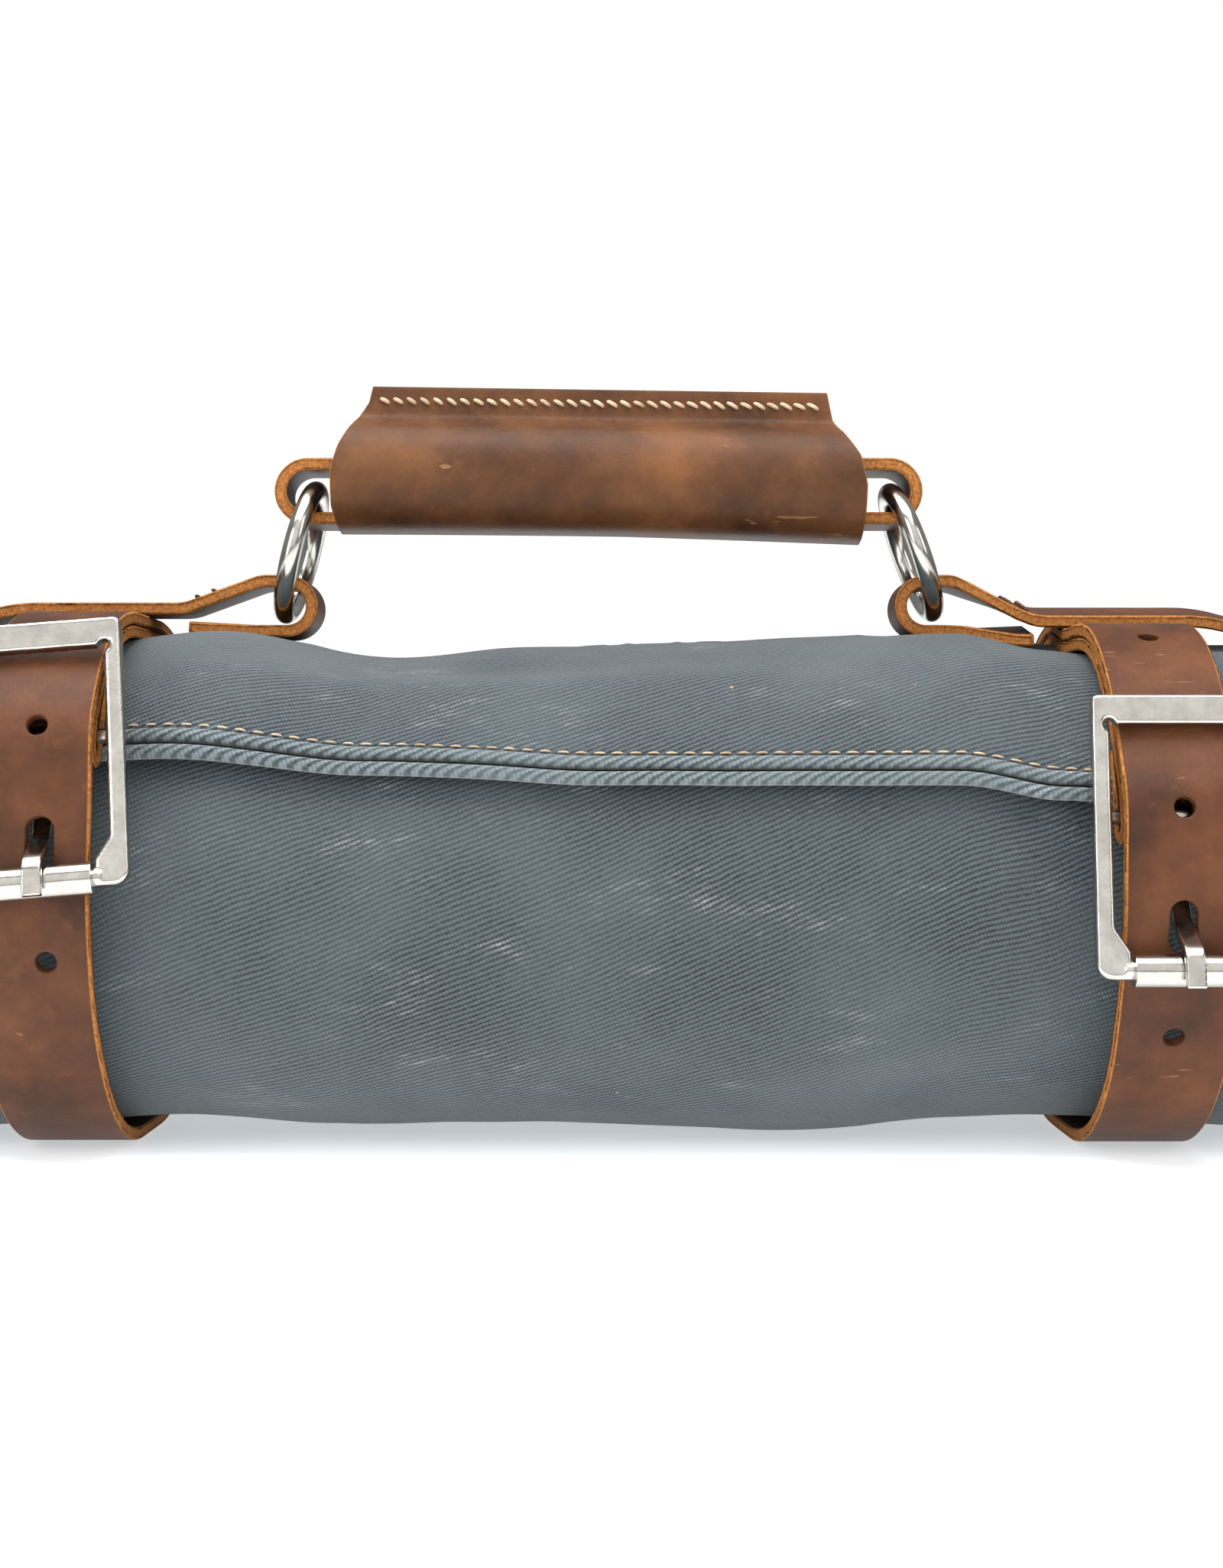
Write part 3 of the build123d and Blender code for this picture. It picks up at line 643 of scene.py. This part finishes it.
def tab_bend(co):
    """The tabs keep their rings in place, so they only take the slant."""
    return co - Vector((0, 0, pressed(*co)))


for side in ("left", "right"):
    leather_strap(side + "_belt", side + "_strap", "roll", BELT, 0, belt_bend)
    leather_strap(side + "_tab", side + "_ring_tab", "roll", BELT, 1, tab_bend)
leather_strap("handle_strap", "handle_carrying_strap", "handle", BELT, 1)

# %% [markdown]
# The grip is a piece of thicker pull-up leather folded under the strap like a taco and
# saddle-stitched along the top, where its two edges stand up as a flange. Its section is
# a teardrop, so it is lofted: one outline is swept along the grip, and the ends lean in
# towards the flange because the leather was cut narrower there.

# %% The grip's section and its loft
GRIP_LEVEL = 0.160
SECTION = [(0.08, 22.0), (1.9, 22.0), (2.4, 21.4), (2.5, 17.0), (3.0, 14.6), (5.5, 12.9)]
SECTION += [(9.5, 10.6), (12.8, 6.5), (14.2, 1.0), (13.9, -5.0), (11.6, -10.0), (7.0, -13.3)]
GRIP_WALL = 2.3


def smooth_path(points, pieces):
    """A rounded path through the points, each stretch split into pieces."""
    out = []
    for i in range(len(points) - 1):
        p = [points[max(0, i - 1)], points[i], points[i + 1], points[min(len(points) - 1, i + 2)]]
        for k in range(pieces):
            t = k / pieces
            w = (-t**3 + 2*t*t - t, 3*t**3 - 5*t*t + 2, -3*t**3 + 4*t*t + t, t**3 - t*t)
            out.append(tuple(sum(w[j] * p[j][n] for j in range(4)) / 2 for n in (0, 1)))
    out.append(points[-1])
    return out


def pulled_in(path, wall):
    """The path moved along its side normals by the wall."""
    out = []
    for i, (y, z) in enumerate(path):
        a, b = path[max(0, i - 1)], path[min(len(path) - 1, i + 1)]
        ty, tz = b[0] - a[0], b[1] - a[1]
        length = math.hypot(ty, tz) or 1.0
        ny, nz = -tz / length, ty / length
        y1, z1 = y - ny * wall, z - nz * wall
        out.append((y1, z1))
    return out


front = smooth_path([(-y, z) for y, z in SECTION] + [(0.0, -14.3)], 4)
back = [(-y, z) for y, z in reversed(front[:-1])]
outer = front + back
inner = [
    (math.copysign(max(abs(y), 0.1), y), min(z, 21.2))
    for (y, z), (_, height) in zip(pulled_in(outer, -GRIP_WALL), outer) if height < 21.0
]
print("grip outline points", len(outer), "inside", len(inner))


def grip_ends(z_mm):
    """How far the leather reaches left and right at this height above the grip's middle."""
    left = [(-16, -66.1), (-9, -67.8), (0, -67.9), (6, -66.2)]
    left += [(13, -62.8), (18, -59.6), (23, -58.4)]
    right = [(-16, 60.8), (-8, 61.6), (-2, 61.8), (5, 60.4)]
    right += [(11, 56.8), (15, 54.4), (23, 52.8)]
    out = []
    for stops in (left, right):
        (z0, x0) = stops[0]
        for z1, x1 in stops[1:]:
            if z_mm <= z1:
                out.append(x0 + (x1 - x0) * max(0.0, (z_mm - z0) / (z1 - z0)))
                break
            z0, x0 = z1, x1
        else:
            out.append(x0)
    return out


def on_grip(t, y_mm, z_mm):
    """A point of the grip: t runs 0 to 1 along it, y and z are its place in the section."""
    left, right = grip_ends(z_mm)
    x = left + (right - left) * t
    tilt = -0.0145 * x
    belly = 0.4 * math.sin(3.1 * t) if z_mm < 0 else 0.0
    belly -= 0.9 * max(0.0, t - 0.55) * 2 if z_mm < -8 else 0.0
    z = z_mm + tilt + belly
    wobble = noise.noise(Vector((x * 0.045, y_mm * 0.08, z * 0.08))) * 0.55
    grow = 1 + wobble / 14 * (1 if abs(y_mm) > 3 else 0)
    return Vector((x * MM, y_mm * grow * MM, GRIP_LEVEL + z * MM))


def loft(name, loop, along, shape=on_grip):
    """Sweeps a closed outline along the grip, in slices from along."""
    vertices, faces = [], []
    for t in along:
        vertices += [shape(t, y, z) for y, z in loop]
    size = len(loop)
    for k in range(len(along) - 1):
        for j in range(size):
            a, b = k * size + j, k * size + (j + 1) % size
            faces.append((a, b, b + size, a + size))
    return make_object(name, vertices, faces)


GRIP_SLICES = [0.0, 0.003, 0.008] + [0.02 + 0.96 * i / 60 for i in range(61)] + [0.992, 0.997, 1.0]
wall_loop = outer + list(reversed(inner))
sleeve = loft("folded_grip_leather", wall_loop, GRIP_SLICES)

# %% [markdown]
# The two open ends of the grip show the thickness of the hide, so they are closed with a
# strip of faces between the outer and the inner outline, and those faces are marked raw.

# %% Closing and marking the grip's ends
bm = bmesh.new()
bm.from_mesh(sleeve.data)
bm.verts.ensure_lookup_table()
loop_size = len(wall_loop)
last_ring = (len(GRIP_SLICES) - 1) * loop_size
n_out, n_in = len(outer), len(inner)
for start, flip in ((0, False), (last_ring, True)):
    for j in range(n_out - 1):
        inside = [min(n_in - 1, max(0, k - (n_out - n_in) // 2)) for k in (j, j + 1)]
        a, b = start + j, start + j + 1
        c, d = [start + n_out + (n_in - 1 - k) for k in inside]
        corners = [a, b, d, c] if c != d else [a, b, c]
        corners = corners if flip else corners[::-1]
        wall_face = [bm.verts[k] for k in corners]
        if bm.faces.get(wall_face) is None:
            bm.faces.new(wall_face)
bm.normal_update()
bmesh.ops.recalc_face_normals(bm, faces=bm.faces)
bm.to_mesh(sleeve.data)
bm.free()
paint = sleeve.data.color_attributes.new("edge", "FLOAT_COLOR", "POINT")
for index in range(len(sleeve.data.vertices)):
    ring, place = divmod(index, loop_size)
    at_end = ring in (0, len(GRIP_SLICES) - 1)
    top_lip = place < 5 or n_out - 5 <= place < n_out
    value = 0.9 if at_end else (0.55 if top_lip else 0.0)
    paint.data[index].color = (value, 0.0, 0.0, 1.0)
for polygon in sleeve.data.polygons:
    polygon.use_smooth = True
sleeve.data.materials.append(GRIP)
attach(sleeve, "handle")
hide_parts("grip_sleeve")
print("grip sleeve faces", len(sleeve.data.polygons))

# %% [markdown]
# Felt fills the fold so that the grip feels round in the hand. Two strips of it lie
# between and above the two runs of the strap. Their near-black colour is painted shade:
# it darkens the grip's open ends, where the hollow inside falls into shadow.

# %% Felt inside the grip
def felt_cloth(name, dark, light):
    """Needled wool felt: matt, fuzzy, mottled."""
    material, tree, shader = new_material(name)
    place = add(tree, "TexCoord").outputs["Object"]
    fuzz = cloud(tree, place, 0.7, detail=6.0, roughness=0.8)
    tree.links.new(ramp(tree, fuzz, (0.3, dark), (0.7, light)), shader.inputs["Base Color"])
    tree.links.new(rise(tree, fuzz, 0.4, 0.9), shader.inputs["Normal"])
    shader.inputs["Roughness"].default_value = 0.95
    shader.inputs["Sheen Weight"].default_value = 0.3
    return material


# The felt's near-black tones are painted shade for the inside of the grip's open ends.
FELT_PAINTED_SHADE = felt_cloth("wool_felt_painted_shade", "1d1713", "3a2f27")


def half_width(z_mm):
    sides = [abs(y) for y, z in inner if abs(z - z_mm) < 1.2]
    return max(0.8, min(sides) - 0.5) if sides else 0.8


def felt_strip(name, low_mm, high_mm):
    levels = [low_mm + (high_mm - low_mm) * i / 5 for i in range(6)]
    loop = [(-half_width(z), z) for z in levels] + [(half_width(z), z) for z in reversed(levels)]
    strip = loft(name, loop, [0.035 + 0.93 * i / 24 for i in range(25)])
    bm = bmesh.new()
    bm.from_mesh(strip.data)
    bmesh.ops.holes_fill(bm, edges=bm.edges[:], sides=0)
    bmesh.ops.recalc_face_normals(bm, faces=bm.faces)
    bm.to_mesh(strip.data)
    bm.free()
    strip.data.materials.append(FELT_PAINTED_SHADE)
    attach(strip, "handle")
    return strip


middle_felt = felt_strip("felt_between_runs", -8.0, 1.0)
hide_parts("grip_core")
felt_strip("felt_under_flange", 5.2, 9.6)

# %% [markdown]
# Saddle stitching is done with two needles through slanting holes, so every stitch lies
# at a slant and sinks at both ends. Each one is a short rounded thread, thick enough to
# throw its own shadow. One helper sweeps a round section along any list of points.

# %% Stitches
def thread_run(vertices, faces, points, radius, corners=8):
    """One stitch: a thread along the points, drawn in to nothing at both ends."""
    base = len(vertices)
    for i, point in enumerate(points):
        a = points[max(0, i - 1)]
        b = points[min(len(points) - 1, i + 1)]
        ahead = (b - a).normalized()
        across = ahead.cross(Vector((0.3, 0.2, 1))).normalized()
        upward = across.cross(ahead)
        t = i / (len(points) - 1)
        size = radius * (0.35 + 0.65 * math.sin(math.pi * min(1, max(0, t))) ** 0.35)
        for k in range(corners):
            angle = 2 * math.pi * k / corners
            vertices.append(point + (across * math.cos(angle) + upward * math.sin(angle)) * size)
    for i in range(len(points) - 1):
        for k in range(corners):
            a, b = base + i * corners + k, base + i * corners + (k + 1) % corners
            faces.append((a, b, b + corners, a + corners))
    faces.append(tuple(base + k for k in reversed(range(corners))))
    end = base + (len(points) - 1) * corners
    faces.append(tuple(end + k for k in range(corners)))


def stitch_row(name, runs, radius, skin, body, node):
    vertices, faces = [], []
    for points in runs:
        thread_run(vertices, faces, points, radius)
    row = make_object(name, vertices, faces)
    row.data.materials.append(skin)
    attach(row, body)
    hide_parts(node)
    print(name, len(runs), "stitches")
    return row


def lying(first, last, out, height, count=9):
    """A stitch from first to last that stands off the leather by height in its middle."""
    points = []
    for i in range(count):
        t = i / (count - 1)
        lift = height * math.sin(math.pi * t) ** 0.6 - 0.25 * MM * (1 - math.sin(math.pi * t))
        points.append(first.lerp(last, t) + out * lift)
    return points


runs = []
GRIP_STITCHES = 33
for face in (-1, 1):
    for k in range(GRIP_STITCHES):
        t0 = 0.022 + 0.958 * k / GRIP_STITCHES
        t1 = t0 + 0.0235
        shake = noise.noise(Vector((k * 1.7, face, 0.3))) * 0.22
        first = on_grip(t0, face * 2.45, 19.15 + shake)
        last = on_grip(t1, face * 2.5, 17.75 - shake)
        runs.append(lying(first, last, Vector((0, face, 0.12)), 0.55 * MM))
stitch_row(
    "grip_saddle_stitches", runs, 0.52 * MM, CREAM, "handle", "grip_stitching"
)

runs = []
HEM_PITCH = 4.0 * MM
hem_count = int(2 * (ROLL_HALF - 4 * MM) / HEM_PITCH)
for k in range(hem_count):
    x0 = -ROLL_HALF + 4 * MM + HEM_PITCH * k
    x1 = x0 + 2.7 * MM
    ends_of_run = []
    for x in (x0, x1):
        level = hem_height(x) + 3.2 * MM
        a = math.asin(min(0.95, (level - FLAP_CENTRE) / RADII[0]))
        ny, nz = -math.cos(a), math.sin(a)
        y, z = -FLAT_HALF + RADII[0] * ny, FLAP_CENTRE + RADII[0] * nz
        reach = settle(x, y, z, ny, nz, 0)
        ends_of_run.append(Vector((x, y + ny * reach, z + nz * reach)))
    under_belt = any(abs((x0 + x1) / 2 - b) < 14.5 * MM for b in BELT_X)
    normal = Vector((0, ny, nz))
    runs.append(lying(*ends_of_run, normal, (-0.2 if under_belt else 0.02) * MM, count=7))
stitch_row("hem_running_stitches", runs, 0.27 * MM, CREAM, "roll", "hem_stitching")

# %% [markdown]
# The tabs that hold the rings are stitched through both layers with brown waxed thread
# beside the ring. The frame marks each stitch, so the rounded ones take its places.

# %% Brown stitches on the tabs
def islands(mesh):
    """Groups of joined vertices, one group for each separate stitch."""
    parent = list(range(len(mesh.vertices)))

    def root(i):
        while parent[i] != i:
            parent[i] = parent[parent[i]]
            i = parent[i]
        return i

    for e in mesh.edges:
        parent[root(e.vertices[0])] = root(e.vertices[1])
    groups = {}
    for v in mesh.vertices:
        groups.setdefault(root(v.index), []).append(v.co.copy())
    places = {}
    for members in groups.values():
        centre = sum(members, Vector()) / len(members)
        key = tuple(round(c / (1.5 * MM)) for c in centre)
        places.setdefault(key, []).extend(members)
    return list(places.values())


for side in ("left", "right"):
    node = side + "_tab_stitching"
    runs = []
    for members in islands(nodes[node].data):
        low = Vector([min(m[i] for m in members) for i in range(3)])
        high = Vector([max(m[i] for m in members) for i in range(3)])
        middle = (low + high) / 2
        reach = (high - low) / 2
        long_axis = max(range(3), key=lambda i: reach[i])
        first, last = middle.copy(), middle.copy()
        first[long_axis] = low[long_axis]
        last[long_axis] = high[long_axis]
        up = Vector((0, 0, 1 if middle.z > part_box(side + "_tab")[1][2] - 8 * MM else -1))
        runs.append([tab_bend(p) for p in lying(first, last, up, 0.15 * MM, count=7)])
    stitch_row(side + "_tab_stitches", runs, 0.38 * MM, BROWN, "roll", node)

# %% [markdown]
# The cast buckle parts come from the frame too. A casting has no sharp corners, and
# tumbling rounds its rails further, so each is copied, rebuilt in small even faces and
# worn down by smoothing. The rings, rollers and rivets are round already and keep their
# frame shape, with nickel plate on the rings and rollers and old brass on the rivets.

# %% Buckles, rollers, rings and rivets
def casting(node, name, body, grain_mm, rounds):
    bm = bmesh.new()
    bm.from_mesh(nodes[node].data)
    bmesh.ops.remove_doubles(bm, verts=bm.verts, dist=0.01 * MM)
    mesh = bpy.data.meshes.new(name)
    bm.to_mesh(mesh)
    bm.free()
    made = bpy.data.objects.new(name, mesh)
    bpy.context.scene.collection.objects.link(made)
    for polygon in mesh.polygons:
        polygon.use_smooth = True
    even = made.modifiers.new("even faces", "REMESH")
    even.mode = "VOXEL"
    even.voxel_size = grain_mm * MM
    even.use_smooth_shade = True
    tumbled = made.modifiers.new("tumbled", "SMOOTH")
    tumbled.factor = 0.5
    tumbled.iterations = rounds
    mesh.materials.clear()
    mesh.materials.append(NICKEL)
    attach(made, body)
    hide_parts(node)
    return made


def plate(node, skin):
    """The frame's own shape stays, with the better metal in its material slots."""
    piece = nodes[node]
    for place in piece.material_slots:
        place.material = skin


for side in ("left", "right"):
    casting(
        side + "_buckle_frame", side + "_cast_buckle", "roll", grain_mm=0.3, rounds=14
    )
    casting(
        side + "_tongue", side + "_buckle_tongue", side + "_tongue", grain_mm=0.22, rounds=8
    )
    for part, skin in (("_ring", NICKEL), ("_roller", NICKEL), ("_chape_rivets", BRASS)):
        plate(side + part, skin)
    plate(side + "_tab_rivets", BRASS)

# %% [markdown]
# The roll stands on a white bench with soft light from all round: a big window-like panel
# above and in front, a second one at each side for the long highlights on the metal, and
# a white surround. The bench catches the contact shadow and shows faintly in the metal.

# %% Bench
def bench_paint(name, shade):
    """Matt white paper sweep, almost without texture."""
    material, tree, shader = new_material(name)
    place = add(tree, "TexCoord").outputs["Object"]
    tone = cloud(tree, place, 300, detail=2.0)
    tree.links.new(ramp(tree, tone, (0.3, shade), (0.7, "ffffff")), shader.inputs["Base Color"])
    shader.inputs["Roughness"].default_value = 0.7
    shader.inputs["Specular IOR Level"].default_value = 0.2
    shader.inputs["Emission Color"].default_value = linear("f4fbff")
    shader.inputs["Emission Strength"].default_value = 0.5
    return material


bm = bmesh.new()
bmesh.ops.create_grid(bm, x_segments=8, y_segments=8, size=4.0)
sweep = bpy.data.meshes.new("white_bench")
bm.to_mesh(sweep)
bm.free()
bench = bpy.data.objects.new("white_bench", sweep)
bpy.context.scene.collection.objects.link(bench)
bench.data.materials.append(bench_paint("white_sweep", "fbfbfc"))
bench.location = (0, 2.5, -0.0002)

# %% [markdown]
# The surround looks pure white to the eye but lights the roll gently, so the undersides
# fall into shade. Four soft panels do the rest: one overhead, one on each side of the
# front, and a wide weak one in front that opens the shadows.

# %% Light
world = bpy.data.worlds.new("studio")
bpy.context.scene.world = world
world.use_nodes = True
surround = world.node_tree.nodes["Background"]
surround.inputs["Color"].default_value = (1.0, 1.0, 1.0, 1.0)
# A little light comes from above and the sides, and less from below.
sky = world.node_tree
ray = add(sky, "LightPath").outputs["Is Camera Ray"]
direction = add(sky, "SeparateXYZ", Vector=add(sky, "TexCoord").outputs["Generated"]).outputs[2]
light_level = band(sky, direction, -0.25, 0.35, 0.10, 0.36)
white_level = sums(sky, "MULTIPLY", ray, 1.05)
darker = sums(sky, "MULTIPLY", light_level, sums(sky, "SUBTRACT", 1.0, ray))
sky.links.new(sums(sky, "ADD", white_level, darker), surround.inputs["Strength"])


def softbox(name, place, target, size, watts, tint="ffffff"):
    lamp = bpy.data.lights.new(name, "AREA")
    lamp.shape = "RECTANGLE"
    lamp.size, lamp.size_y = size
    lamp.energy = watts
    lamp.color = linear(tint)[:3]
    holder = bpy.data.objects.new(name, lamp)
    bpy.context.scene.collection.objects.link(holder)
    holder.location = place
    holder.rotation_euler = (Vector(target) - Vector(place)).to_track_quat("-Z", "Y").to_euler()
    return holder


softbox("overhead", (-0.1, -0.25, 1.1), (0, 0, 0.08), (1.2, 0.8), 21)
softbox("front_left", (-0.9, -1.0, 0.55), (0, 0, 0.1), (0.5, 0.9), 6)
softbox("front_right", (1.0, -0.8, 0.7), (0, 0, 0.1), (0.4, 0.8), 3)
softbox("front_fill", (0.0, -1.6, 0.85), (0, 0, 0.09), (1.9, 1.5), 8.5)
bpy.context.scene.view_settings.view_transform = "Standard"
print("studio panels ready")

# %% [markdown]
# The camera stands level in front of the roll, close enough that both belts reach the
# sides of the frame. The lens is a normal one, given by its focal
# length in the same unit as the height of the image.

# %% Camera
SENSOR_HEIGHT = 36.0
IMAGE_HEIGHT = 2052
FOCAL_LENGTH = 3025
camera_data = bpy.data.cameras.new("front_view")
camera_data.sensor_fit = "VERTICAL"
camera_data.sensor_height = SENSOR_HEIGHT
camera_data.lens = SENSOR_HEIGHT * FOCAL_LENGTH / IMAGE_HEIGHT
camera_data.clip_start = 0.02
camera = bpy.data.objects.new("front_view", camera_data)
bpy.context.scene.collection.objects.link(camera)
camera.location = (0.0, -0.571, 0.085)
camera.rotation_euler = (math.radians(90), 0, 0)
bpy.context.scene.camera = camera
print("lens in mm", round(camera_data.lens, 1))
